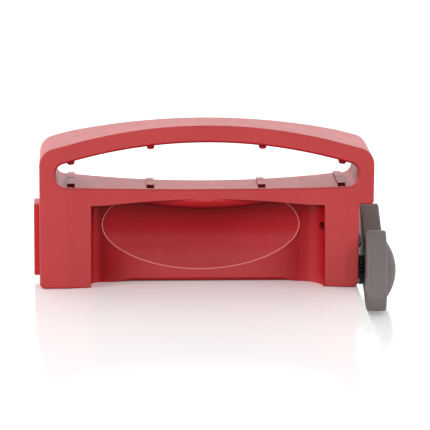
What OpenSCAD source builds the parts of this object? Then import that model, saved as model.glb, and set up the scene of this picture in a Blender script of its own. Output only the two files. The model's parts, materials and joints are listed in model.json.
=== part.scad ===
// Hand can opener: a two-shell plastic body with a grip window and a finger
// scoop, a turn key that drives a feed wheel, and a cutter wheel on a sprung
// carriage that a side button lifts. Millimetres, +Z up, +Y away from the user.

/* [Housing] */
// Width of the housing over its two sides
body_w = 124; // [122:1:126]
// Depth of the housing at its ends
body_d = 28; // [27:1:30]
// Height of the arch at the middle
body_h = 60.7; // [59:0.1:62]
// Wall thickness of both shells
wall = 1.6; // [1.4:0.1:1.8]
// Depth at which the front shell meets the rear shell
split_y = 17.3; // [17:0.1:17.6]
// How far the front face bows in at the middle
front_waist = 4.8; // [4:0.1:5.2]
// How far the rear face bows in at the middle
rear_waist = 6; // [5:0.1:6.4]
// Radius of the arched top
arch_r = 212; // [205:1:220]
// Radius of the two top corners
top_corner_r = 6.5; // [5:0.5:8]
// Gap from the feet up to the overhang above the key
overhang_z = 31.7; // [31:0.1:32.5]

/* [Window] */
// Thickness of the arch above the grip window
arch_t = 6.5; // [6:0.1:7]
// Height of the window floor at the middle
floor_z = 36.6; // [36:0.1:37]
// Half width of the grip window
window_half = 56; // [55:0.5:56.5]

/* [Cavity] */
// Left wall of the cavity
cavity_left = -43; // [-44:0.5:-42]
// Right wall of the cavity
cavity_right = 43.9; // [43:0.1:44]
// Height of the cavity ceiling at its ends
ceiling_z = 31.2; // [31:0.1:31.6]
// Distance from the front face to the cavity's back wall
back_wall_y = 10.4; // [10:0.1:11]
// Depth of the finger scoop in the back wall
scoop_depth = 6.6; // [5:0.1:7]

/* [Turn key] */
// Height of the key's axis above the feet
key_z = 3.4; // [3.2:0.1:3.6]
// Depth of the key's axis behind the front face
key_y = 14; // [13.5:0.1:14]
// Thickness of the key's wings
key_t = 7.4; // [6.5:0.1:8]
// Reach of the front wing
front_wing_r = 22.2; // [20:0.1:23]
// Reach of the rear wing
rear_wing_r = 27.4; // [25:0.1:27.6]
// Radius of the domed cap
cap_r = 12.7; // [11:0.1:13]
// Height of the dome above the key
cap_h = 5.3; // [4:0.1:6]

/* [Mechanism] */
// Radius of the drive shaft
shaft_r = 2; // [1.8:0.1:2.2]
// Outer radius of the toothed feed wheel
feed_r = 5.6; // [5:0.1:5.8]
// Number of teeth on the feed wheel
feed_teeth = 24; // [20:1:30]
// Radius of the cutter wheel
cutter_r = 6.4; // [6:0.1:6.6]
// Travel of the release button, and lift of the cutter
travel = 1.8; // [1.2:0.1:1.8]

/* [Hidden] */

red = [0.74, 0.25, 0.25];
grey = [0.5, 0.47, 0.46];
steel = [0.75, 0.75, 0.77];
brass = [0.8, 0.65, 0.3];

half_w = body_w / 2;
arch_cz = body_h - arch_r;
inner_arch_r = arch_r - arch_t;
floor_r = 833;
leg_right_x = 56.7;
past = 1;
running = 0.05;

// Plan arcs: each face is flat at its ends and bows in between them.
front_span = 52;
rear_span = 50;
front_plan_r = bow_radius(front_span, front_waist);
rear_plan_r = bow_radius(rear_span, rear_waist);
front_plan_cy = front_waist - front_plan_r;
rear_plan_cy = body_d - rear_waist + rear_plan_r;

// Scoop: the cavity's back wall cut by a spindle whose axis lies along X.
scoop_half_w = 37;
scoop_half_h = 17.1;
scoop_x = -1.85;
scoop_z = 22.1;
scoop_r = bow_radius(scoop_half_h, scoop_depth);
scoop_axis_y = back_wall_y + scoop_depth - scoop_r;
scoop_bow_r = bow_radius(scoop_half_w, scoop_depth);
scoop_wall = 1.4;
scoop_edge = 0.2;

// Mechanism positions along X and in the YZ plane.
leg_in_x = cavity_right + wall;
leg_wall_x = leg_right_x - wall;
boss_r = 4.4;
boss_end_x = leg_right_x + 1;
washer_x = boss_end_x + 0.12;
feed_x = washer_x + 0.28;
feed_t = 1.2;
key_x = feed_x + feed_t + 0.15;
key_out_x = key_x + key_t;
plate_x = leg_wall_x - 1.45;
plate_t = 1.4;
shaft_in_x = plate_x - 1.9;
clip_x = plate_x - 0.75;
clip_r = 2.6;
clip_room = 0.3;
bite = 0.6;
cutter_z = key_z + feed_r + cutter_r - bite;
cutter_x = leg_right_x + 0.25;
cutter_t = 0.8;
axle_r = 1.5;
slot_play = 0.3;
carriage_x = leg_in_x + 0.9;
carriage_w = plate_x - 0.4 - carriage_x;
carriage_bottom = cutter_z - 4;
carriage_top = cutter_z + 3.8;
pin_x = 50;
pin_ys = [7.5, 22];
pin_r = 1.2;
chamber_top = 30.6;
rod_y = 18.4;
rod_z = 5;
rod_r = 1;
wedge_x = leg_in_x - 0.6;
wedge_top = 8.7;
wedge_start = wedge_x + 2.1;
wedge_end = wedge_x + 6.3;
foot_gap = 0.3;
button_y = 15;
button_z = 16.6;
button_size = [14, 27.4];
button_r = 2.5;
button_out = 2.2;
button_play = 0.3;
rib_x = -45.6;
spring_end_x = rib_x - 0.3;
boss_x = -55;
screw_spots = [[-52.5, 13.5], [-52.5, 31], [58.6, 35.1]];
screw_head_y = body_d - 3.6;
plate_screw_spots = [[5.6, 25.5], [12.5, 26.5]];
tab_xs = [-50.3, -20.8, 20.8, 50.3];
tab_w = 2.8;
tab_h = 0.7;

// The part's origin is the bottom centre of the box round the whole opener.
rear_corner_r = 3;
front_high = 129;
front_low = 207;
rear_low = 19;
rear_high = 52;
left_x = -half_w - button_out;
right_x = key_out_x + cap_h;
front_y = key_y - front_wing_r;
back_y = key_y + (rear_wing_r - rear_corner_r) * cos(rear_low) + rear_corner_r;
bottom_z = key_z - cap_r;
origin = [(left_x + right_x) / 2, (front_y + back_y) / 2, bottom_z];

// Radius of an arc that bows by depth over half its span
function bow_radius(half, depth) = (half * half + depth * depth) / (2 * depth);
function polar(r, a) = [r * cos(a), r * sin(a)];
function arc(centre, r, a0, a1, n) = [for (i = [0 : n]) centre + polar(r, a0 + (a1 - a0) * i / n)];
function fade(x, half, power) = pow(max(0, 1 - pow(x / half, 2)), power);
function front_at(x) = abs(x) < front_span ? front_plan_cy + sqrt(pow(front_plan_r, 2) - x * x) : 0;
function rear_at(x) = abs(x) < rear_span ? rear_plan_cy - sqrt(pow(rear_plan_r, 2) - x * x) : body_d;
function floor_at(x) = floor_z + floor_r - sqrt(floor_r * floor_r - x * x);
function arch_at(x) = arch_cz + sqrt(inner_arch_r * inner_arch_r - x * x);

module place() {
    translate(-origin) children();
}

// Extrudes an outline drawn in X and Z from depth y0 to depth y1
module slab(y0, y1) {
    translate([0, y1, 0]) rotate([90, 0, 0]) linear_extrude(y1 - y0) children();
}

// Extrudes an outline drawn in Y and Z from x0 to x1
module side_slab(x0, x1) {
    translate([x0, 0, 0]) rotate([90, 0, 90]) linear_extrude(x1 - x0) children();
}

module rod_x(x0, x1, y, z, r) {
    translate([x0, y, z]) rotate([0, 90, 0]) cylinder(r = r, h = x1 - x0, $fn = 48);
}

module rod_y(y0, y1, x, z, r) {
    translate([x, y0, z]) rotate([-90, 0, 0]) cylinder(r = r, h = y1 - y0, $fn = 48);
}

module block(low, high) {
    translate(low) cube(high - low);
}

module rounded_rect(centre, size, r) {
    translate(centre) {
        square([size[0] - 2 * r, size[1]], center = true);
        square([size[0], size[1] - 2 * r], center = true);
        for (sx = [-1, 1], sy = [-1, 1])
            translate([sx * (size[0] / 2 - r), sy * (size[1] / 2 - r)]) circle(r = r, $fn = 48);
    }
}

// Front view of the housing, without the window or the cavity
module side_outline() {
    r = top_corner_r;
    cx = half_w - r;
    cz = arch_cz + sqrt(pow(arch_r - r, 2) - cx * cx);
    lean = asin(cx / (arch_r - r));
    foot_r = 2;
    lip_r = 1.2;
    chamfer = 1.5;
    polygon(concat(
        [[leg_right_x - chamfer, 0], [leg_right_x, chamfer], [leg_right_x, overhang_z]],
        arc([half_w - lip_r, overhang_z + lip_r], lip_r, 270, 360, 4),
        arc([cx, cz], r, 0, 90 - lean, 8),
        arc([0, arch_cz], arch_r, 90 - lean + 1, 90 + lean - 1, 36),
        arc([-cx, cz], r, 90 + lean, 180, 8),
        arc([foot_r - half_w, foot_r], foot_r, 180, 270, 5)));
}

module window_outline() {
    r = 3.8;
    cx = window_half - r;
    top_z = arch_cz + sqrt(pow(inner_arch_r - r, 2) - cx * cx);
    low_z = floor_z + floor_r - sqrt(pow(floor_r - r, 2) - cx * cx);
    top_lean = asin(cx / (inner_arch_r - r));
    low_lean = asin(cx / (floor_r - r));
    polygon(concat(
        arc([0, floor_z + floor_r], floor_r, 270 - low_lean + 0.3, 270 + low_lean - 0.3, 14),
        arc([cx, low_z], r, 270 + low_lean, 360, 6),
        arc([cx, top_z], r, 0, 90 - top_lean, 6),
        arc([0, arch_cz], inner_arch_r, 90 - top_lean + 1, 90 + top_lean - 1, 32),
        arc([-cx, top_z], r, 90 + top_lean, 180, 6),
        arc([-cx, low_z], r, 180, 270 - low_lean, 6)));
}

// The hollow inside the arch and down both ends of the window
module arch_hollow_outline() {
    column_in = window_half + wall;
    column_out = half_w - wall;
    column_top = 49.5;
    lean = asin(window_half / arch_r);
    polygon(concat(arc([0, arch_cz], arch_r - wall, 90 - lean, 90 + lean, 20),
        arc([0, arch_cz], inner_arch_r + wall, 90 + lean, 90 - lean, 20)));
    for (side = [[-column_out, 34], [column_in, 38.5]])
        translate(side) square([column_out - column_in, column_top - side[1]]);
}

module front_bow(grow = 0) {
    translate([0, front_plan_cy, -past]) cylinder(r = front_plan_r + grow, h = body_h + 2 * past, $fn = 720);
}

module rear_bow(grow = 0) {
    translate([0, rear_plan_cy, -past]) cylinder(r = rear_plan_r + grow, h = body_h + 2 * past, $fn = 720);
}

// Limits the cavity to below the beam, whose front edge rises towards the middle
module below_beam() {
    rise = 1.75;
    half = 38;
    n = 20;
    edge = [for (i = [0 : n]) let (x = half * (1 - 2 * i / n)) [x, ceiling_z + rise * fade(x, half, 1.2)]];
    slab(-past, body_d) polygon(concat(
        [[cavity_left - past, -past], [cavity_right + past, -past], [cavity_right + past, ceiling_z]],
        edge, [[cavity_left - past, ceiling_z]]));
}

// A spindle along X that rounds the beam's underside and hangs lowest at the middle
module belly() {
    drop = 2.9;
    half = 38;
    n = 20;
    axis_z = ceiling_z + 1.7;
    edge = [for (i = [0 : n]) let (x = half * (2 * i / n - 1))
        [axis_z - ceiling_z + drop * fade(x, half - 3, 2), x]];
    translate([0, front_waist + drop + 1.6, axis_z]) rotate([0, 90, 0])
        rotate_extrude($fn = 96) polygon(concat([[0, -half]], edge, [[0, half]]));
}

// A spindle along X that cuts the scoop, or its outer skin when grown
module scoop_spindle(grow = 0) {
    n = 24;
    end = scoop_half_w + 5;
    function radius(x) = scoop_r - scoop_bow_r + sqrt(scoop_bow_r * scoop_bow_r - x * x) + grow;
    edge = [for (i = [0 : n]) let (x = end * (2 * i / n - 1)) [radius(x), x]];
    translate([scoop_x, scoop_axis_y, scoop_z]) rotate([0, 90, 0])
        rotate_extrude($fn = 180) polygon(concat([[0, -end]], edge, [[0, end]]));
}

// Rounds the lower edge of the cavity's back wall; the round fades out at both corners
module lower_edge_round() {
    r = 2.8;
    bend = 13;
    tuck = 0.2;
    x0 = cavity_left + bend + r;
    x1 = cavity_right - bend - r;
    module waste() {
        difference() {
            translate([bend - past, -past]) square([r + past - tuck, r + past - tuck]);
            translate([bend + r - tuck, r - tuck]) circle(r = r, $fn = 48);
        }
    }
    translate([x0, back_wall_y - bend, 0]) rotate([90, 0, 90]) linear_extrude(x1 - x0) waste();
    for (end = [[x0, 0], [x1, 1]])
        translate([end[0], back_wall_y - bend, 0]) mirror([end[1], 0, 0]) rotate([0, 0, 90])
            rotate_extrude(angle = 70, $fn = 180) waste();
}

// Everything that is cut away below the beam
module cavity() {
    left_r = 4.2;
    right_r = 9;
    difference() {
        intersection() {
            below_beam();
            union() {
                translate([0, 0, -past]) linear_extrude(body_h / 2 + 6) polygon(concat(
                    [[cavity_left, -past], [cavity_right, -past]],
                    arc([cavity_right - right_r, back_wall_y - right_r], right_r, 0, 90, 10),
                    arc([cavity_left + left_r, back_wall_y - left_r], left_r, 90, 180, 7)));
                intersection() {
                    scoop_spindle();
                    block([scoop_x - scoop_half_w - scoop_edge, back_wall_y - 2, 0],
                        [scoop_x + scoop_half_w + scoop_edge, body_d, body_h / 2 + 5]);
                }
                lower_edge_round();
            }
        }
        belly();
    }
}

// The ledge of each snap tab on the window floor and under the arch, between two depths
module tab_ribs(y0, y1, x) {
    half = tab_w / 2;
    block([x - half, y0, floor_at(x) - 0.4], [x + half, y1, floor_at(x) + tab_h]);
    block([x - half, y0, arch_at(x) - tab_h], [x + half, y1, arch_at(x) + 0.4]);
}

// The hook end under the arch: a small nose that hangs below the ledge
module tab_nose(x) {
    y = front_at(x) + 2.2;
    half = tab_w / 2;
    nose_r = 0.9;
    drop = 1.5;
    block([x - half, y, arch_at(x) - drop + nose_r], [x + half, y + 2.6, arch_at(x) + 0.4]);
    for (side = [-1, 1])
        rod_y(y, y + 2.6, x + side * (half - nose_r), arch_at(x) - drop + nose_r, nose_r);
    block([x - half + nose_r, y, arch_at(x) - drop], [x + half - nose_r, y + 2.6, arch_at(x)]);
}

module button_hole() {
    side_slab(-half_w - past, -half_w + wall + past)
        rounded_rect([button_y, button_z], button_size + 2 * [button_play, button_play], button_r + button_play);
}

// Slot in the leg's outer wall for the cutter axle
module axle_slot(x0, x1) {
    r = axle_r + slot_play;
    rod_x(x0, x1, key_y, cutter_z, r);
    rod_x(x0, x1, key_y, cutter_z + travel, r);
    block([x0, key_y - r, cutter_z], [x1, key_y + r, cutter_z + travel]);
}

module leg_rooms(y0, y1) {
    block([-half_w + wall, y0, wall], [cavity_left - wall, y1, 35]);
    block([leg_in_x, y0, wall], [leg_wall_x, y1, chamber_top]);
    slab(y0, y1) arch_hollow_outline();
}

module front_shell() {
    room_y = back_wall_y + wall;
    pilot_r = 1.1;
    hole_y = 4.6;
    hole_z = 22.3;
    hole_r = 1.9;
    place() color(red) difference() {
        union() {
            difference() {
                slab(0, split_y) side_outline();
                front_bow();
                slab(-past, split_y + past) window_outline();
                difference() {
                    leg_rooms(wall, split_y + past);
                    front_bow(wall);
                }
                block([cavity_left - wall - 0.5, room_y, wall], [leg_in_x + 0.5, split_y + past, 34.8]);
            }
            intersection() {
                scoop_spindle(scoop_wall);
                block([cavity_left, room_y - past, wall], [cavity_right, body_d - 7, 34.8]);
            }
            for (spot = [screw_spots[0], screw_spots[1]])
                rod_y(wall / 2, split_y, spot[0], spot[1], 2.8);
            for (z = [wall - 0.2, chamber_top - 1.5])
                translate([pin_x, pin_ys[0], z]) cylinder(r = 2.3, h = 1.7, $fn = 48);
            rod_x(leg_wall_x, boss_end_x, key_y, key_z, boss_r);
            for (x = tab_xs) {
                tab_ribs(front_at(x) + 5.4, split_y - 0.3, x);
                tab_nose(x);
            }
        }
        cavity();
        button_hole();
        for (spot = screw_spots)
            rod_y(6, split_y + past, spot[0], spot[1], pilot_r);
        for (x = tab_xs)
            block([x - tab_w / 2, front_at(x) + 2.2, floor_at(x) - 1.3],
                [x + tab_w / 2, front_at(x) + 5, floor_at(x) + past]);
        rod_x(cavity_right - 4, leg_in_x + past, hole_y, hole_z, hole_r);
        rod_x(plate_x - running, boss_end_x + past, key_y, key_z, 3);
        rod_x(shaft_in_x - clip_room, plate_x, key_y, key_z, clip_r + clip_room);
        axle_slot(leg_wall_x - past, leg_right_x + past);
        for (z = [wall, chamber_top - past - 1])
            translate([pin_x, pin_ys[0], z]) cylinder(r = pin_r, h = 2, $fn = 48);
        for (spot = plate_screw_spots)
            rod_x(leg_wall_x - past, leg_wall_x + 0.6, spot[0], spot[1], 1);
        block([leg_wall_x - past, split_y, -past], [half_w + past, body_d, overhang_z]);
        block([leg_wall_x, 0, -boss_r], [half_w, body_d, 0]);
    }
}

module rear_shell() {
    place() color(red) difference() {
        union() {
            difference() {
                slab(split_y, body_d) side_outline();
                rear_bow();
                slab(split_y - past, body_d + past) window_outline();
                difference() {
                    union() {
                        leg_rooms(split_y - past, body_d - wall);
                        block([cavity_left - wall - 0.5, split_y - past, wall],
                            [leg_in_x + 0.5, body_d - wall, 34.8]);
                    }
                    rear_bow(wall);
                }
            }
            for (spot = [screw_spots[0], screw_spots[1]])
                rod_y(split_y, body_d - wall / 2, spot[0], spot[1], 3.4);
            for (z = [wall - 0.2, chamber_top - 1.5])
                translate([pin_x, pin_ys[1], z]) cylinder(r = 2.3, h = 1.7, $fn = 48);
            for (x = [rib_x, cavity_right - 2])
                block([x, split_y + 0.4, wall - 0.2], [x + 1.4, rear_at(x) - wall / 2, 9]);
            for (x = tab_xs)
                tab_ribs(split_y + 0.3, rear_at(x) - 0.5, x);
        }
        button_hole();
        for (spot = screw_spots) {
            rod_y(split_y - past, body_d + past, spot[0], spot[1], 1.6);
            rod_y(screw_head_y, body_d + past, spot[0], spot[1], 2.9);
        }
        for (x = [rib_x, cavity_right - 2])
            rod_x(x - 0.1, x + 1.5, rod_y, rod_z, 2);
        for (x = [rib_x, cavity_right - 2])
            block([x - 0.1, split_y, rod_z - 2], [x + 1.5, rod_y, rod_z + 2]);
        for (z = [wall, chamber_top - past - 1])
            translate([pin_x, pin_ys[1], z]) cylinder(r = pin_r, h = 2, $fn = 48);
    }
}

// Pan-head self-tapping screw along Y, head to the rear, with a cross slot
module case_screw(x, z) {
    head_h = 1.9;
    difference() {
        union() {
            rod_y(7, screw_head_y, x, z, 1.1);
            rod_y(screw_head_y, screw_head_y + head_h, x, z, 2.6);
        }
        for (turn = [0, 90])
            translate([x, screw_head_y + head_h, z]) rotate([0, turn, 0])
                cube([3.2, 2, 0.7], center = true);
    }
}

module case_screws() {
    place() color(steel) for (spot = screw_spots)
        case_screw(spot[0], spot[1]);
}

module release_button() {
    flange = 1;
    grow = 2 * [flange, flange];
    place() color(red) difference() {
        union() {
            side_slab(-half_w - button_out, -half_w + wall + 0.3)
                rounded_rect([button_y, button_z], button_size, button_r);
            side_slab(-half_w + wall + 0.3, -half_w + wall + 1.6)
                rounded_rect([button_y, button_z], button_size + grow, button_r + flange);
            rod_x(-half_w + wall + 1.5, boss_x, rod_y, rod_z + 0.2, 2.2);
        }
        rod_x(boss_x - 3, boss_x + past, rod_y, rod_z, rod_r);
    }
}

module release_rod() {
    half = 1.2;
    place() color(steel) {
        rod_x(boss_x - 3, wedge_x + 0.5, rod_y, rod_z, rod_r);
        slab(rod_y - half, rod_y + half)
            polygon([[wedge_x, 3.6], [wedge_end, 3.6], [wedge_end, wedge_top - wedge_end + wedge_start],
                [wedge_start, wedge_top], [wedge_x, wedge_top]]);
    }
}

// Round wire wound along Z, as one swept tube
module coil(coil_r, wire_r, turns, length) {
    sides = 6;
    per_turn = 14;
    n = turns * per_turn;
    pitch = (length - 2 * wire_r) / turns;
    function ring(k) = let (a = 360 * k / per_turn, z = wire_r + pitch * k / per_turn)
        [for (s = [0 : sides - 1]) let (b = 360 * s / sides, r = coil_r + wire_r * cos(b))
            [r * cos(a), r * sin(a), z + wire_r * sin(b)]];
    points = [for (k = [0 : n], p = ring(k)) p];
    polyhedron(points = points, faces = concat(
        [for (k = [0 : n - 1], s = [0 : sides - 1]) let (t = (s + 1) % sides)
            [k * sides + s, k * sides + t, (k + 1) * sides + t, (k + 1) * sides + s]],
        [[for (s = [sides - 1 : -1 : 0]) s]],
        [[for (s = [0 : sides - 1]) n * sides + s]]));
}

module button_spring() {
    place() color(steel) translate([boss_x + 0.1, rod_y, rod_z]) rotate([0, 90, 0])
        coil(1.75, 0.3, 6, spring_end_x - boss_x - 0.1);
}

module rod_bushes() {
    place() color("white") for (x = [rib_x, cavity_right - 2])
        difference() {
            rod_x(x, x + 1.4, rod_y, rod_z, 2);
            rod_x(x - past, x + 1.4 + past, rod_y, rod_z, rod_r + running);
        }
}

module drive_plate() {
    place() color(steel) difference() {
        side_slab(plate_x, plate_x + plate_t)
            rounded_rect([14, 16], [23.6, 28], 2);
        rod_x(plate_x - past, plate_x + plate_t + past, key_y, key_z, 3);
        axle_slot(plate_x - past, plate_x + plate_t + past);
        for (spot = plate_screw_spots)
            rod_x(plate_x - past, plate_x + plate_t + past, spot[0], spot[1], 1.1);
    }
}

module plate_screws() {
    place() color(steel) for (spot = plate_screw_spots)
        difference() {
            union() {
                rod_x(plate_x, leg_wall_x + 0.6, spot[0], spot[1], 1);
                rod_x(plate_x - 0.9, plate_x, spot[0], spot[1], 1.9);
            }
            translate([plate_x - 0.9, spot[0], spot[1]]) cube([0.8, 2.6, 0.5], center = true);
        }
}

module shaft_bush() {
    place() color(brass) difference() {
        rod_x(plate_x, boss_end_x + 0.05, key_y, key_z, 3);
        rod_x(plate_x - past, boss_end_x + past, key_y, key_z, shaft_r + running);
    }
}

module drive_shaft() {
    groove_r = shaft_r - 0.5;
    place() color(steel) difference() {
        rod_x(shaft_in_x, key_out_x - 3.2, key_y, key_z, shaft_r);
        difference() {
            rod_x(clip_x, clip_x + 0.6, key_y, key_z, shaft_r + past);
            rod_x(clip_x - past, clip_x + past, key_y, key_z, groove_r);
        }
        rod_x(key_out_x - 8, key_out_x, key_y, key_z, 0.9);
    }
}

module thrust_washer() {
    place() color(steel) difference() {
        rod_x(washer_x, washer_x + 0.28, key_y, key_z, 3.6);
        rod_x(washer_x - past, washer_x + past, key_y, key_z, shaft_r);
    }
}

module feed_wheel() {
    root_r = feed_r - 0.7;
    rim = [for (i = [0 : 2 * feed_teeth - 1]) polar(i % 2 == 0 ? feed_r : root_r, 180 * i / feed_teeth)];
    place() color(steel) difference() {
        side_slab(feed_x, feed_x + feed_t) translate([key_y, key_z]) polygon(rim);
        rod_x(feed_x - past, feed_x + feed_t + past, key_y, key_z, shaft_r);
    }
}

module retaining_clip() {
    place() color(steel) difference() {
        rod_x(clip_x, clip_x + 0.6, key_y, key_z, clip_r);
        rod_x(clip_x - past, clip_x + past, key_y, key_z, shaft_r - 0.5);
        block([clip_x - past, key_y - 1.2, key_z - 4], [clip_x + past, key_y + 1.2, key_z]);
    }
}

// Two swept wings that meet in a waist at the hub. Angles run from +Y towards +Z.
module key_outline() {
    r = rear_corner_r;
    front_r = front_wing_r - r;
    rear_r = rear_wing_r - r;
    translate([key_y, key_z]) polygon(concat(
        arc(polar(rear_r, rear_low), r, rear_low - 75, rear_low, 6),
        arc([0, 0], rear_wing_r, rear_low + 1, rear_high - 1, 10),
        arc(polar(rear_r, rear_high), r, rear_high, rear_high + 80, 6),
        arc([-6.5, 12.9], 3.5, 305, 235, 5),
        arc(polar(front_r, front_high), r, front_high - 75, front_high, 6),
        arc([0, 0], front_wing_r, front_high + 1, front_low - 1, 18),
        arc(polar(front_r, front_low), r, front_low, front_low + 75, 6),
        [[-5, -6.6], [3.4, -5.1]]));
}

module turn_key() {
    hub_x = key_x + 2.4;
    recess = 1.5;
    place() color(grey) difference() {
        union() {
            side_slab(key_x, key_out_x) key_outline();
            rod_x(hub_x, key_out_x, key_y, key_z, cap_r);
        }
        rod_x(key_out_x - recess, key_out_x + past, key_y, key_z, cap_r - 1.6);
        rod_x(key_x - past, key_out_x - 3.2, key_y, key_z, shaft_r);
        rod_x(key_out_x - 3.3, key_out_x, key_y, key_z, 3.4);
    }
}

module key_screw() {
    place() color(steel) difference() {
        union() {
            rod_x(key_out_x - 8, key_out_x - 3.2, key_y, key_z, 0.9);
            rod_x(key_out_x - 3.2, key_out_x - 1.7, key_y, key_z, 3);
        }
        translate([key_out_x - 1.7, key_y, key_z]) cube([1.2, 4.4, 0.8], center = true);
    }
}

module key_cap() {
    dome_r = bow_radius(cap_r, cap_h);
    spigot = 1.4;
    place() color(grey) {
        intersection() {
            translate([key_out_x + cap_h - dome_r, key_y, key_z]) rotate([0, 90, 0])
                rotate_extrude($fn = 120) intersection() {
                    circle(r = dome_r, $fn = 240);
                    translate([0, -dome_r]) square(2 * dome_r);
                }
            block([key_out_x, key_y - cap_r - past, key_z - cap_r - past],
                [key_out_x + cap_h + past, key_y + cap_r + past, key_z + cap_r + past]);
        }
        rod_x(key_out_x - spigot, key_out_x + 0.5, key_y, key_z, cap_r - 1.6);
    }
}

module cutter_carriage() {
    foot_y = [rod_y - 1.6, rod_y + 1.6];
    place() color(steel) difference() {
        union() {
            block([carriage_x, 5, carriage_bottom], [carriage_x + carriage_w, 24.6, carriage_top]);
            slab(foot_y[0], foot_y[1])
                polygon([[wedge_start + 0.4, carriage_bottom + past],
                    [wedge_start + 0.4, wedge_top - 0.4 + foot_gap * sqrt(2)],
                    [wedge_end + 0.6, wedge_top - wedge_end - 0.6 + wedge_start + foot_gap * sqrt(2)],
                    [wedge_end + 0.6, carriage_bottom + past]]);
        }
        for (y = pin_ys)
            translate([pin_x, y, carriage_bottom - past])
                cylinder(r = pin_r + 0.08, h = carriage_top - carriage_bottom + 2 * past, $fn = 48);
        rod_x(carriage_x - past, plate_x, key_y, cutter_z, axle_r);
    }
}

module cutter_axle() {
    head_x = cutter_x + cutter_t + 0.1;
    place() color(steel) {
        rod_x(carriage_x, head_x, key_y, cutter_z, axle_r);
        rod_x(head_x, head_x + 0.8, key_y, cutter_z, 2.5);
    }
}

module cutter_wheel() {
    edge = 0.05;
    bore_r = axle_r + running;
    place() color(steel) translate([cutter_x, key_y, cutter_z]) rotate([0, 90, 0])
        rotate_extrude($fn = 120) polygon([[bore_r, 0], [3.6, 0], [cutter_r, cutter_t / 2 - edge],
            [cutter_r, cutter_t / 2 + edge], [4.2, cutter_t], [bore_r, cutter_t]]);
}

module axle_washer() {
    place() color(steel) difference() {
        rod_x(carriage_x - 0.6, carriage_x, key_y, cutter_z, 3);
        rod_x(carriage_x - past, carriage_x, key_y, cutter_z, 1);
    }
}

module guide_pins() {
    place() color(steel) for (y = pin_ys)
        translate([pin_x, y, wall]) cylinder(r = pin_r, h = chamber_top - wall, $fn = 48);
}

module carriage_springs() {
    place() color(steel) for (y = pin_ys)
        translate([pin_x, y, carriage_top + 0.1]) coil(1.9, 0.35, 5, chamber_top - 1.7 - carriage_top);
}

front_shell();
rear_shell();
case_screws();
release_button();
release_rod();
button_spring();
rod_bushes();
drive_plate();
plate_screws();
shaft_bush();
drive_shaft();
thrust_washer();
feed_wheel();
retaining_clip();
turn_key();
key_screw();
key_cap();
cutter_carriage();
cutter_axle();
cutter_wheel();
axle_washer();
guide_pins();
carriage_springs();
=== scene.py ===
import json
import math

import bmesh
import bpy
from mathutils import Matrix, Vector

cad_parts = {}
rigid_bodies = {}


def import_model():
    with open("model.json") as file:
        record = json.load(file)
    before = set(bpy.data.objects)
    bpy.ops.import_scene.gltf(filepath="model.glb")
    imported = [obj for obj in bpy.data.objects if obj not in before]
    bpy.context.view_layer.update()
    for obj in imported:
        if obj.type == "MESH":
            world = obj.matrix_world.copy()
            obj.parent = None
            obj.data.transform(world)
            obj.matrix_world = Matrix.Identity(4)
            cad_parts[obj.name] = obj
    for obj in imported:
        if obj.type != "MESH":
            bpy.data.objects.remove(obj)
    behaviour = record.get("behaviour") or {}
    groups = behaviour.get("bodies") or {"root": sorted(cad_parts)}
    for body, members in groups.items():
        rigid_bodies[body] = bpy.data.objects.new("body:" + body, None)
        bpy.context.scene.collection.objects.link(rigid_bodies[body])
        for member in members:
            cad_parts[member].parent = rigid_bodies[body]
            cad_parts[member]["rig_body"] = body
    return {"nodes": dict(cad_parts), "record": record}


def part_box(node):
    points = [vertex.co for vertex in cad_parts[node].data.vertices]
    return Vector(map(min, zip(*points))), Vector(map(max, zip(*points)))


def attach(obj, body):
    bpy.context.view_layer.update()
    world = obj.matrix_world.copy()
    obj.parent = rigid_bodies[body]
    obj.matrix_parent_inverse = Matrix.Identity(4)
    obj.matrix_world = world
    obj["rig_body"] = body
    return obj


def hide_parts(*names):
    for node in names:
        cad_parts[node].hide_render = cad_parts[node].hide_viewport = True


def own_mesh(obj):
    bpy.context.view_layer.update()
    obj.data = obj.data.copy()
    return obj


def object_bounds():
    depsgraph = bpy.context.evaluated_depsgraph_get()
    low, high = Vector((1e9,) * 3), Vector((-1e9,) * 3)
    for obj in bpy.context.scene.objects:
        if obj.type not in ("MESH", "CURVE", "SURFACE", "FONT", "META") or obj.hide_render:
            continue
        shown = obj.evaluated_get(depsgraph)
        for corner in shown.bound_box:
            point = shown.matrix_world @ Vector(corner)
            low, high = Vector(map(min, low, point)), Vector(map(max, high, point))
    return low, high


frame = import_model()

MM = 0.001
CAD_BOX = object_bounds()
NODES = frame["nodes"]
SLOT_OF = {row["node"]: row["material_slot"] for row in frame["record"]["subparts"]}

# Places that the rest of the script works from, in metres
FEET_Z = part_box("rear_shell")[0].z
HOUSING_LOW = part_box("front_shell")[0]
REAR_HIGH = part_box("rear_shell")[1]
KEY_LOW, KEY_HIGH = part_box("turn_key")
SPLIT_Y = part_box("rear_shell")[0].y
CAP_LOW, CAP_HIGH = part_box("key_cap")
KEY_CENTRE = (CAP_LOW + CAP_HIGH) / 2

# Camera, in degrees, metres and millimetres
CAMERA_TURN = (-2.871, 12.642, 0.358)
CAMERA_DISTANCE = 1.05
CAMERA_LENS = 234.2
CAMERA_SENSOR = 36
AIM_SHIFT = (-0.368, -2.654, -0.731)

# Front shell: depths behind its front face, and heights above the feet
WALL_DEPTH = 10.4 * MM
FRONT_DEPTH = 5.2 * MM
WINDOW_MIDDLE = 43.5 * MM
WINDOW_LOW = 35.5 * MM
CAVITY_TOP = 33.6 * MM
CAVITY_HALF = 43 * MM
SCOOP_LOW = 3.8 * MM
WALL_REACH = 0.25 * MM
CRISP_FOOT = 4 * MM
CRISP_BAND = (27 * MM, 36 * MM)
CRISP_MARGIN = 0.6 * MM

# How far from a face or a line an edge may lie and still be rounded
SPLIT_MARGIN = 2 * MM
KEY_REACH = 0.1 * MM
CAP_MARGIN = 0.4 * MM
BUTTON_REACH = 0.5 * MM

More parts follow.
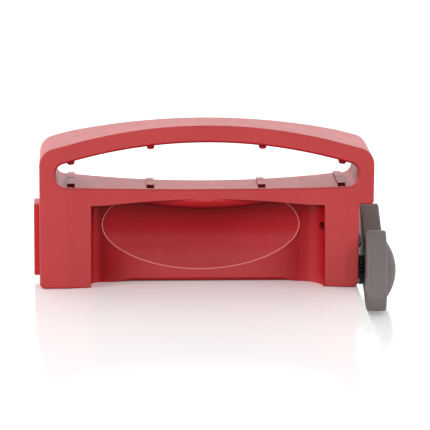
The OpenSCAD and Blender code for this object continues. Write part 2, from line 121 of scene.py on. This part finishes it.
# Edge rounding and the bead
WINDOW_ROUND = 0.9 * MM
OUTLINE_ROUND = 0.55 * MM
REAR_ROUND = 0.45 * MM
KEY_ROUND = 0.8 * MM
BUTTON_ROUND = 0.5 * MM
BEAD_RADIUS = 0.24 * MM
BEAD_LIFT = 0.02 * MM
BEAD_SIDES = 8
BEAD_END = 0.15
BEAD_GROWTH = 6
NODE_BEVEL = 0.08 * MM

# Edges to round turn by more than the first and less than the second, in degrees
SHELL_TURNS = (40, 130)
GREY_TURNS = (50, 130)
SCOOP_TURNS = (9, 60)
FACING = 0.93
SHARP_TURN = 32
CRISP_TURN = 3
SPRING_TURN = 60
NODE_TURN = 50

# Mesh work
JOIN_DISTANCE = 2e-6
FLAT_TURN = 0.1
GRID_STEP = 4.1 * MM
GRID_START = 0.53


# ---------------------------------------------------------------- camera

def make_camera():
    azimuth, elevation, roll = (math.radians(turn) for turn in CAMERA_TURN)
    low, high = CAD_BOX
    aim = Vector(((low[0] + high[0]) / 2, (low[1] + high[1]) / 2, (low[2] + high[2]) / 2))
    aim += Vector(AIM_SHIFT) * MM
    back = Vector((math.sin(azimuth) * math.cos(elevation),
                   -math.cos(azimuth) * math.cos(elevation), math.sin(elevation)))
    right = (-back).cross(Vector((0, 0, 1))).normalized()
    up = right.cross(-back)
    turned_right = math.cos(roll) * right + math.sin(roll) * up
    turned_up = math.cos(roll) * up - math.sin(roll) * right
    turn = Matrix((turned_right, turned_up, back)).transposed()
    data = bpy.data.cameras.new("camera")
    data.lens = CAMERA_LENS
    data.sensor_width = CAMERA_SENSOR
    data.clip_start = 0.01
    camera = bpy.data.objects.new("camera", data)
    camera.matrix_world = Matrix.Translation(aim + CAMERA_DISTANCE * back) @ turn.to_4x4()
    bpy.context.scene.collection.objects.link(camera)
    bpy.context.scene.camera = camera


# ---------------------------------------------------------------- materials

def new_material(name):
    material = bpy.data.materials.new(name)
    material.use_nodes = True
    tree = material.node_tree
    shader = tree.nodes["Principled BSDF"]
    coords = tree.nodes.new("ShaderNodeTexCoord")
    return material, tree, shader, coords.outputs["Object"]


def noise(tree, coords, scale, detail=3, roughness=0.5, stretch=(1, 1, 1)):
    mapping = tree.nodes.new("ShaderNodeMapping")
    mapping.inputs["Scale"].default_value = stretch
    tree.links.new(coords, mapping.inputs["Vector"])
    node = tree.nodes.new("ShaderNodeTexNoise")
    node.inputs["Scale"].default_value = scale
    node.inputs["Detail"].default_value = detail
    node.inputs["Roughness"].default_value = roughness
    tree.links.new(mapping.outputs["Vector"], node.inputs["Vector"])
    return node.outputs["Fac"]


def ranged(tree, value, low, high):
    node = tree.nodes.new("ShaderNodeMapRange")
    node.inputs["From Min"].default_value = 0.3
    node.inputs["From Max"].default_value = 0.7
    node.inputs["To Min"].default_value = low
    node.inputs["To Max"].default_value = high
    tree.links.new(value, node.inputs["Value"])
    return node.outputs["Result"]


def mixed_colour(tree, factor, dark, light):
    ramp = tree.nodes.new("ShaderNodeValToRGB")
    ramp.color_ramp.elements[0].position = 0.3
    ramp.color_ramp.elements[1].position = 0.7
    ramp.color_ramp.elements[0].color = (*dark, 1)
    ramp.color_ramp.elements[1].color = (*light, 1)
    tree.links.new(factor, ramp.inputs["Fac"])
    return ramp.outputs["Color"]


def bump(tree, height, strength, distance, below=None):
    node = tree.nodes.new("ShaderNodeBump")
    node.inputs["Strength"].default_value = strength
    node.inputs["Distance"].default_value = distance
    tree.links.new(height, node.inputs["Height"])
    if below is not None:
        tree.links.new(below, node.inputs["Normal"])
    return node.outputs["Normal"]


def combined(tree, operation, *inputs, clamp=False):
    """A Math node. Each input is a number or another node's output."""
    node = tree.nodes.new("ShaderNodeMath")
    node.operation = operation
    node.use_clamp = clamp
    for place, value in enumerate(inputs):
        if isinstance(value, (int, float)):
            node.inputs[place].default_value = value
        else:
            tree.links.new(value, node.inputs[place])
    return node.outputs["Value"]


# Painted shade and light on the red plastic: reach of the hollows painted darker, weight of the slope, and
# colour by exposure
SHADED_HOLLOW_REACH = 28 * MM
SLOPE_SHADE_WEIGHT = 0.45
UPWARD_LIGHT_FACING = (0.7, 0.95)
# Colour by exposure: the darker stops paint shade into the plastic's colour
PAINTED_SHADE_STOPS = ((0.34, (0.12, 0.005, 0.02)), (0.66, (0.55, 0.03, 0.08)),
              (0.92, (0.94, 0.17, 0.28)), (0.985, (1, 1, 1)))
# Painted light, multiplied into up-facing ledges inside hollows
PAINTED_LEDGE_LIGHT = (1.7, 1.05, 1.05)


def painted_shade_and_light(tree, colour):
    """Paints shade into the colour in hollows and on faces that look down, and paints light on faces that
    look up and on ledges in hollows.
    """
    open_air = tree.nodes.new("ShaderNodeAmbientOcclusion")
    open_air.samples = 8
    open_air.only_local = True
    open_air.inputs["Distance"].default_value = SHADED_HOLLOW_REACH
    surface = tree.nodes.new("ShaderNodeNewGeometry")
    facing = tree.nodes.new("ShaderNodeSeparateXYZ")
    tree.links.new(surface.outputs["True Normal"], facing.inputs["Vector"])
    shaded = combined(tree, "MULTIPLY_ADD", facing.outputs["Z"], SLOPE_SHADE_WEIGHT, open_air.outputs["AO"])
    upward = tree.nodes.new("ShaderNodeMapRange")
    upward.inputs["From Min"].default_value = UPWARD_LIGHT_FACING[0]
    upward.inputs["From Max"].default_value = UPWARD_LIGHT_FACING[1]
    tree.links.new(facing.outputs["Z"], upward.inputs["Value"])
    exposure = combined(tree, "ADD", shaded, upward.outputs["Result"], clamp=True)
    shade_ramp = tree.nodes.new("ShaderNodeValToRGB")
    stops = shade_ramp.color_ramp.elements
    for stop, (place, shade) in zip(stops, (PAINTED_SHADE_STOPS[0], PAINTED_SHADE_STOPS[-1])):
        stop.position, stop.color = place, (*shade, 1)
    for place, shade in PAINTED_SHADE_STOPS[1:-1]:
        stops.new(place).color = (*shade, 1)
    tree.links.new(exposure, shade_ramp.inputs["Fac"])
    closed = combined(tree, "SUBTRACT", 1, open_air.outputs["AO"])
    ledge_light = combined(tree, "MULTIPLY", closed, upward.outputs["Result"])
    ledge_lit = tree.nodes.new("ShaderNodeMix")
    ledge_lit.data_type = "RGBA"
    ledge_lit.inputs["B"].default_value = (*PAINTED_LEDGE_LIGHT, 1)
    tree.links.new(ledge_light, ledge_lit.inputs["Factor"])
    tree.links.new(shade_ramp.outputs["Color"], ledge_lit.inputs["A"])
    mix = tree.nodes.new("ShaderNodeMix")
    mix.data_type = "RGBA"
    mix.blend_type = "MULTIPLY"
    mix.inputs["Factor"].default_value = 1
    tree.links.new(colour, mix.inputs["A"])
    tree.links.new(ledge_lit.outputs["Result"], mix.inputs["B"])
    return mix.outputs["Result"]


def moulded_plastic(name, dark, light, rough, paint_shade):
    """Moulded finish: fine even grain, faint colour drift, rubbed patches and slow sink waves; when asked,
    also painted shade in hollows and on down-facing faces, and painted light on up-facing faces and
    ledges.
    """
    material, tree, shader, coords = new_material(name)
    drift = noise(tree, coords, 45, detail=2)
    grit = noise(tree, coords, 2600, detail=2, roughness=0.6)
    sink = noise(tree, coords, 38, detail=1)
    rub = noise(tree, coords, 260, detail=5, roughness=0.65)
    colour = mixed_colour(tree, drift, dark, light)
    # Painted shade in hollows and on down-facing faces, painted light on up-facing faces
    if paint_shade:
        colour = painted_shade_and_light(tree, colour)
    tree.links.new(colour, shader.inputs["Base Color"])
    tree.links.new(ranged(tree, rub, *rough), shader.inputs["Roughness"])
    waves = bump(tree, sink, 0.12, 0.4 * MM)
    tree.links.new(bump(tree, grit, 0.35, 0.012 * MM, waves), shader.inputs["Normal"])
    shader.inputs["IOR"].default_value = 1.5
    shader.inputs["Specular IOR Level"].default_value = 0.13
    return material


def turned_metal(name, dark, light, rough, stretch):
    """Metal with fine tool marks that run across the stretched direction."""
    material, tree, shader, coords = new_material(name)
    marks = noise(tree, coords, 700, detail=4, roughness=0.6, stretch=stretch)
    stain = noise(tree, coords, 180, detail=3)
    tree.links.new(mixed_colour(tree, stain, dark, light), shader.inputs["Base Color"])
    tree.links.new(ranged(tree, marks, *rough), shader.inputs["Roughness"])
    tree.links.new(bump(tree, marks, 0.3, 0.01 * MM), shader.inputs["Normal"])
    shader.inputs["Metallic"].default_value = 1
    return material


ROUND_MARKS = (6, 1, 1)
FLAT_MARKS = (1, 1, 8)
SCREW_MARKS = (1, 6, 1)

# name: dark colour, light colour, roughness range
PLASTICS = {
    "housing_red": ((0.450, 0.050, 0.052), (0.480, 0.056, 0.058), (0.33, 0.40)),
    # The bead's red is much lighter than the housing red: a painted highlight along the scoop rim
    "bead_highlight_red": ((0.74, 0.20, 0.21), (0.78, 0.23, 0.24), (0.28, 0.36)),
    "button_red": ((0.48, 0.028, 0.031), (0.51, 0.032, 0.035), (0.34, 0.42)),
    "key_grey": ((0.165, 0.139, 0.137), (0.188, 0.160, 0.157), (0.42, 0.52)),
    "cap_grey": ((0.104, 0.089, 0.088), (0.122, 0.105, 0.103), (0.42, 0.52)),
    "acetal_white": ((0.70, 0.69, 0.65), (0.76, 0.75, 0.71), (0.30, 0.40)),
}
# name: dark colour, light colour, roughness range, stretch of the tool marks
METALS = {
    # wheel_steel is near-black, darker than bare steel: painted shade in the gap between the leg and the
    # key
    "wheel_steel": ((0.060, 0.060, 0.064), (0.100, 0.100, 0.105), (0.34, 0.48), ROUND_MARKS),
    "plate_steel": ((0.09, 0.09, 0.10), (0.13, 0.13, 0.14), (0.38, 0.52), FLAT_MARKS),
    "bright_steel": ((0.16, 0.16, 0.165), (0.22, 0.22, 0.225), (0.24, 0.38), ROUND_MARKS),
    "screw_steel": ((0.42, 0.42, 0.42), (0.52, 0.52, 0.53), (0.22, 0.36), SCREW_MARKS),
    "spring_steel": ((0.34, 0.34, 0.36), (0.42, 0.42, 0.44), (0.20, 0.34), ROUND_MARKS),
    "bush_brass": ((0.56, 0.40, 0.15), (0.66, 0.50, 0.21), (0.20, 0.34), ROUND_MARKS),
}


def make_materials():
    materials = {}
    for name, (dark, light, rough) in PLASTICS.items():
        # Only the housing red gets painted shade and light
        materials[name] = moulded_plastic(name, dark, light, rough, paint_shade=name == "housing_red")
    for name, (dark, light, rough, stretch) in METALS.items():
        materials[name] = turned_metal(name, dark, light, rough, stretch)
    return materials


# ---------------------------------------------------------------- shells and plastic parts

def clean_copy(node, name):
    """A copy of a CAD node's mesh with its flat faces joined, ready to be edge-rounded."""
    work = bmesh.new()
    work.from_mesh(NODES[node].data)
    bmesh.ops.remove_doubles(work, verts=work.verts, dist=JOIN_DISTANCE)
    bmesh.ops.dissolve_degenerate(work, edges=work.edges, dist=JOIN_DISTANCE)
    bmesh.ops.dissolve_limit(work, angle_limit=math.radians(FLAT_TURN), verts=work.verts, edges=work.edges)
    return work, bpy.data.meshes.new(name)


def add_piece(name, mesh, material, node, instead=True):
    """A smooth-shaded piece that rides with a CAD node, and takes its place if instead is true."""
    for polygon in mesh.polygons:
        polygon.use_smooth = True
    mesh.materials.clear()
    mesh.materials.append(material)
    piece = bpy.data.objects.new(name, mesh)
    bpy.context.scene.collection.objects.link(piece)
    if instead:
        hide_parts(node)
    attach(piece, NODES[node]["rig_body"])
    return piece


def edge_middle(edge):
    return (edge.verts[0].co + edge.verts[1].co) / 2


def rim_edges(work, direction, turns, accept):
    """Convex edges of a face towards direction that turn within turns, where accept(middle) is true."""
    found = []
    facing = Vector(direction)
    for edge in work.edges:
        if len(edge.link_faces) != 2 or not edge.is_convex:
            continue
        turn = math.degrees(edge.calc_face_angle(0))
        towards = [face.normal.dot(facing) > FACING for face in edge.link_faces]
        if turns[0] < turn < turns[1] and any(towards) and accept(edge_middle(edge)):
            found.append(edge)
    return found


def round_edges(work, edges, width, segments=3):
    bmesh.ops.bevel(work, geom=edges, offset=width, offset_type="OFFSET", segments=segments,
                    profile=0.5, affect="EDGES", clamp_overlap=False, loop_slide=True)


def grid_cuts(work):
    """Cuts long faces along a grid, so that smooth shading stays local."""
    step = GRID_STEP
    low = [min(v.co[axis] for v in work.verts) for axis in range(3)]
    high = [max(v.co[axis] for v in work.verts) for axis in range(3)]
    for axis in range(3):
        normal = [0, 0, 0]
        normal[axis] = 1
        place = low[axis] + GRID_START * step
        while place < high[axis]:
            at = [0, 0, 0]
            at[axis] = place
            bmesh.ops.bisect_plane(work, geom=work.verts[:] + work.edges[:] + work.faces[:],
                                   dist=1e-7, plane_co=at, plane_no=normal)
            place += step


def finish_mesh(work, mesh, name, node, material, crisp=None):
    """Ends the mesh work. An edge is sharp if it turns by SHARP_TURN, or by CRISP_TURN where
    crisp(middle) is true."""
    grid_cuts(work)
    for edge in work.edges:
        limit = CRISP_TURN if crisp and crisp(edge_middle(edge)) else SHARP_TURN
        edge.smooth = math.degrees(edge.calc_face_angle(0)) < limit
    work.to_mesh(mesh)
    work.free()
    piece = add_piece(name, mesh, material, node)
    weighted = piece.modifiers.new("even_shading", "WEIGHTED_NORMAL")
    weighted.keep_sharp = True


def faces_point(edge, point):
    """True if one of the edge's faces looks towards point, seen from the front."""
    middle = edge_middle(edge)
    towards = Vector((point.x - middle.x, 0, point.z - middle.z))
    return any(abs(f.normal.y) < 0.5 and f.normal.dot(towards) > 0 for f in edge.link_faces)


def ordered_points(edges):
    """The points along the longest unbroken chain of edges."""
    beside = {}
    for edge in edges:
        for a, b in (edge.verts, reversed(edge.verts)):
            beside.setdefault(a, []).append(b)
    chains, used = [], set()
    starts = sorted(beside, key=lambda v: (len(beside[v]) != 1, v.co.x, v.co.z))
    for start in starts:
        if start in used:
            continue
        chain = [start]
        used.add(start)
        while True:
            onward = [v for v in beside[chain[-1]] if v not in used]
            if not onward:
                break
            chain.append(onward[0])
            used.add(onward[0])
        chains.append([v.co.copy() for v in chain])
    return max(chains, key=len)


def make_bead(points, radius, material):
    """A fine moulded bead along points, tapered at both ends."""
    work = bmesh.new()
    rings = []
    sides = BEAD_SIDES
    last = len(points) - 1
    for index, point in enumerate(points):
        along = (points[min(index + 1, last)] - points[max(index - 1, 0)]).normalized()
        across = along.cross(Vector((0, 1, 0))).normalized()
        out = across.cross(along)
        taper = min(1, BEAD_END + BEAD_GROWTH * min(index, last - index) / last)
        ring = []
        for side in range(sides):
            angle = 2 * math.pi * side / sides
            offset = math.cos(angle) * across + math.sin(angle) * out
            ring.append(work.verts.new(point + radius * taper * offset))
        rings.append(ring)
    for ring, following in zip(rings, rings[1:]):
        for side in range(sides):
            after = (side + 1) % sides
            work.faces.new((ring[side], ring[after], following[after], following[side]))
    work.faces.new(list(reversed(rings[0])))
    work.faces.new(rings[-1])
    bmesh.ops.recalc_face_normals(work, faces=work.faces)
    mesh = bpy.data.meshes.new("scoop_bead")
    work.to_mesh(mesh)
    work.free()
    add_piece("scoop_bead", mesh, material, "front_shell", instead=False)


def make_front_shell(material, bead_highlight_material):
    work, mesh = clean_copy("front_shell", "front_housing")
    front = Vector((0, -1, 0))
    wall_y = HOUSING_LOW.y + WALL_DEPTH
    centre_x = (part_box("rear_shell")[0].x + REAR_HIGH.x) / 2
    window = Vector((centre_x, 0, FEET_Z + WINDOW_MIDDLE))

    def beside_cavity(p):
        return abs(p.x - centre_x) < CAVITY_HALF

    def front_edge(p):
        return p.y < HOUSING_LOW.y + FRONT_DEPTH and not (p.z < FEET_Z + CAVITY_TOP and beside_cavity(p))

    def scoop_edge(p):
        return abs(p.y - wall_y) < WALL_REACH and p.z > FEET_Z + SCOOP_LOW

    def crisp(p):
        at_foot = p.z < FEET_Z + CRISP_FOOT
        at_belly = FEET_Z + CRISP_BAND[0] < p.z < FEET_Z + CRISP_BAND[1]
        return beside_cavity(p) and p.y < wall_y - CRISP_MARGIN and (at_foot or at_belly)

    edges = rim_edges(work, front, SHELL_TURNS, front_edge)
    around_window = [e for e in edges if faces_point(e, window)
                     and min(v.co.z for v in e.verts) > FEET_Z + WINDOW_LOW]
    outline = [e for e in edges if e not in set(around_window)]
    scoop_edges = rim_edges(work, front, SCOOP_TURNS, scoop_edge)
    rim = [p + Vector((0, -BEAD_LIFT, 0)) for p in ordered_points(scoop_edges)]
    round_edges(work, around_window, WINDOW_ROUND, 4)
    round_edges(work, [e for e in outline if e.is_valid], OUTLINE_ROUND)
    # The bead's lighter red is a painted highlight along the scoop rim
    make_bead(rim, BEAD_RADIUS, bead_highlight_material)
    finish_mesh(work, mesh, "front_housing", "front_shell", material, crisp)


def make_rear_shell(material):
    work, mesh = clean_copy("rear_shell", "rear_housing")
    edges = rim_edges(work, (0, 1, 0), SHELL_TURNS, lambda p: p.y > SPLIT_Y + SPLIT_MARGIN)
    round_edges(work, edges, REAR_ROUND)
    finish_mesh(work, mesh, "rear_housing", "rear_shell", material)


def make_turn_key(material):
    work, mesh = clean_copy("turn_key", "turning_key")
    cap_r = (CAP_HIGH.y - CAP_LOW.y) / 2

    def outer_edge(p):
        from_centre = math.hypot(p.y - KEY_CENTRE.y, p.z - KEY_CENTRE.z)
        return p.x > KEY_HIGH.x - KEY_REACH and from_centre > cap_r + CAP_MARGIN

    outer = rim_edges(work, (1, 0, 0), GREY_TURNS, outer_edge)
    inner = rim_edges(work, (-1, 0, 0), GREY_TURNS, lambda p: p.x < KEY_LOW.x + KEY_REACH)
    round_edges(work, outer + inner, KEY_ROUND, 4)
    finish_mesh(work, mesh, "turning_key", "turn_key", material)


def make_button(material):
    work, mesh = clean_copy("release_button", "side_button")
    edges = rim_edges(work, (-1, 0, 0), GREY_TURNS, lambda p: p.x < CAD_BOX[0][0] + BUTTON_REACH)
    round_edges(work, edges, BUTTON_ROUND)
    finish_mesh(work, mesh, "side_button", "release_button", material)


def make_spring(row, material):
    """A smooth-shaded copy of a spring node, in its material, that takes the node's place."""
    node = row["node"]
    letter = row["mode"][-1]
    index = "xyz".index(letter)
    fixed = row[f"fixed_end_{letter}_m"]
    low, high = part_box(node)
    along, anchor = [0, 0, 0], [0, 0, 0]
    along[index], anchor[index] = 1, fixed
    work, mesh = clean_copy(node, node + "_wire")
    work.to_mesh(mesh)
    work.free()
    piece = add_piece(node + "_wire", mesh, material, node)
    mesh.set_sharp_from_angle(angle=math.radians(SPRING_TURN))
    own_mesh(piece)


def make_springs(materials):
    for joint in frame["record"]["behaviour"]["joints"]:
        for row in joint.get("deforming_nodes", []):
            make_spring(row, materials[SLOT_OF[row["node"]]])


def soften(node, material):
    """Gives a CAD node its material, a small bevel on its edges and even shading."""
    piece = NODES[node]
    piece.data.materials.clear()
    piece.data.materials.append(material)
    weld = piece.modifiers.new("join", "WELD")
    weld.merge_threshold = JOIN_DISTANCE
    edge = piece.modifiers.new("edge", "BEVEL")
    edge.width = NODE_BEVEL
    edge.segments = 2
    edge.limit_method = "ANGLE"
    edge.angle_limit = math.radians(NODE_TURN)
    shade = piece.modifiers.new("even_shading", "WEIGHTED_NORMAL")
    shade.keep_sharp = True


# ---------------------------------------------------------------- stage

PALE = (0.88, 0.88, 0.88)
STAGE_GLOW = 0.16
SKY_FRONT, SKY_BACK = 0.425, 1.35

# name: place, aim, width and height, power
LIGHTS = {
    "overhead": ((-0.3, 0.1, 1.3), (0, 0, 0), (1.4, 1.0), 0.5),
    "behind": ((0, 1.3, 0.5), (0, 0, 0.04), (1.6, 0.5), 2.3),
    "right": ((1.0, -0.42, 0.22), (0, 0, 0.03), (0.5, 0.35), 5.5),
    "left": ((-1.0, -0.45, 0.28), (0, 0, 0.03), (0.5, 0.45), 8),
}


def pale_material(name, rough):
    material, tree, shader, coords = new_material(name)
    cloud = noise(tree, coords, 3, detail=2)
    tree.links.new(ranged(tree, cloud, rough, rough + 0.02), shader.inputs["Roughness"])
    shader.inputs["Base Color"].default_value = (*PALE, 1)
    shader.inputs["IOR"].default_value = 1.4
    shader.inputs["Emission Color"].default_value = (1, 1, 1, 1)
    shader.inputs["Emission Strength"].default_value = STAGE_GLOW
    return material


def make_stage():
    """A pale shelf at the height of the feet, ending short of the key, over a pale floor."""
    shelf_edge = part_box("feed_wheel")[0].x - 1.6 * MM
    shelf_top = FEET_Z - 0.02 * MM
    shelf_bottom = 0.1 * MM
    floor_z = -0.05 * MM
    reach = 2.5
    glossy = pale_material("shelf_white", 0.12)
    matt = pale_material("floor_white", 0.14)
    work = bmesh.new()
    bmesh.ops.create_cube(work, size=1)
    for vertex in work.verts:
        vertex.co.x = shelf_edge if vertex.co.x > 0 else -reach
        vertex.co.y = reach if vertex.co.y > 0 else -reach
        vertex.co.z = shelf_top if vertex.co.z > 0 else shelf_bottom
    mesh = bpy.data.meshes.new("shelf")
    work.to_mesh(mesh)
    work.free()
    shelf = bpy.data.objects.new("shelf", mesh)
    mesh.materials.append(glossy)
    floor_mesh = bpy.data.meshes.new("floor")
    corners = [(-reach, -reach, floor_z), (reach, -reach, floor_z),
               (reach, reach, floor_z), (-reach, reach, floor_z)]
    floor_mesh.from_pydata(corners, [], [(0, 1, 2, 3)])
    floor_mesh.materials.append(matt)
    floor = bpy.data.objects.new("floor", floor_mesh)
    for piece in (shelf, floor):
        bpy.context.scene.collection.objects.link(piece)


def area_light(name, place, aim, size, power):
    data = bpy.data.lights.new(name, "AREA")
    data.shape = "RECTANGLE"
    data.size, data.size_y = size
    data.energy = power
    light = bpy.data.objects.new(name, data)
    light.location = place
    light.rotation_euler = (Vector(aim) - Vector(place)).to_track_quat("-Z", "Y").to_euler()
    bpy.context.scene.collection.objects.link(light)


def make_world():
    """White studio light, brighter from behind the object than from in front of it."""
    world = bpy.data.worlds.new("studio")
    bpy.context.scene.world = world
    world.use_nodes = True
    tree = world.node_tree
    backdrop = tree.nodes["Background"]
    coords = tree.nodes.new("ShaderNodeTexCoord")
    axes = tree.nodes.new("ShaderNodeSeparateXYZ")
    tree.links.new(coords.outputs["Generated"], axes.inputs["Vector"])
    strength = tree.nodes.new("ShaderNodeMapRange")
    strength.interpolation_type = "SMOOTHSTEP"
    strength.inputs["From Min"].default_value = -0.7
    strength.inputs["From Max"].default_value = 0.8
    strength.inputs["To Min"].default_value = SKY_FRONT
    strength.inputs["To Max"].default_value = SKY_BACK
    tree.links.new(axes.outputs["Y"], strength.inputs["Value"])
    tree.links.new(strength.outputs["Result"], backdrop.inputs["Strength"])
    backdrop.inputs["Color"].default_value = (1, 1, 1, 1)


def make_lights():
    for name, (place, aim, size, power) in LIGHTS.items():
        area_light(name, place, aim, size, power)
    bpy.context.scene.view_settings.view_transform = "Standard"


# ---------------------------------------------------------------- build

make_camera()
make_world()
make_lights()
make_stage()
MATERIALS = make_materials()

make_front_shell(MATERIALS["housing_red"], MATERIALS["bead_highlight_red"])
make_rear_shell(MATERIALS["housing_red"])
make_turn_key(MATERIALS["key_grey"])
make_button(MATERIALS["button_red"])
make_springs(MATERIALS)
for node in NODES:
    if not NODES[node].hide_render:
        soften(node, MATERIALS[SLOT_OF[node]])
